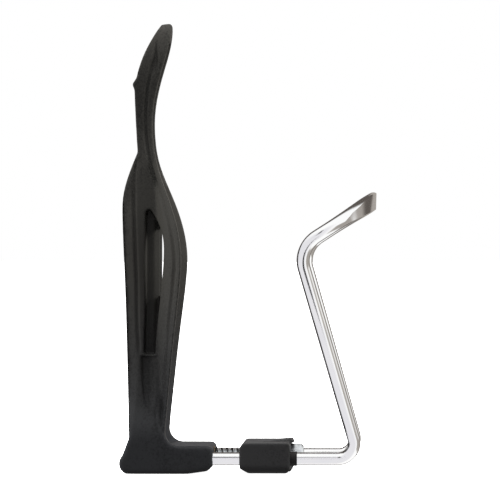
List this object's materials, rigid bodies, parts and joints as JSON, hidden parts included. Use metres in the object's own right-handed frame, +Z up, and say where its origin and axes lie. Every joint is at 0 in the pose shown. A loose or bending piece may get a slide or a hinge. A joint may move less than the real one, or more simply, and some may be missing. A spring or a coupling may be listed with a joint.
{
  "type": "adjustable bottle cage",
  "caption": "Bicycle water bottle cage: moulded plastic back with a gripping tongue and a foot, and a bent aluminium rod hoop on a screw-adjusted sliding block.",
  "frame": {"origin": "middle between the two frame bolt holes, on the face that lies against the bicycle's frame tube", "axes": "+X from the frame tube towards the hoop, across the bottle; +Z up along the bottle's axis, from the foot to the tongue; +Y across, the part being a mirror image of itself about Y = 0"},
  "size_m": [0.0939, 0.0768, 0.1648],
  "materials": {
    "moulding": "black glass-filled nylon with a fine moulded texture",
    "bush": "black, smooth",
    "rod": "polished, clear anodised",
    "hardware": "zinc plated",
    "spring": "black oxide",
    "insert": "turned"
  },
  "bodies": {
    "back": {"back_body": "moulding", "threaded_insert": "insert", "spring": "spring"},
    "slider": {"slider_block": "moulding", "hoop": "rod", "hoop_pins": "hardware", "rod_bushes": "bush", "head_washer": "hardware", "spring_washer": "hardware"},
    "screw": {"adjusting_screw": "hardware"}
  },
  "joints": [
    {"name": "hoop_slide", "type": "slide", "parent": "back", "child": "slider", "axis": [1, 0, 0], "range_m": [-0.0091, 0], "deforming": ["spring"]},
    {"name": "screw_turn", "type": "hinge", "parent": "slider", "child": "screw", "pos_m": [0.0572, 0, -0.05535], "axis": [1, 0, 0], "range_deg": [-4680, 0]}
  ],
  "couplings": [
    {"joint": "screw_turn", "follows": "hoop_slide", "rad_per_m": 8976}
  ]
}
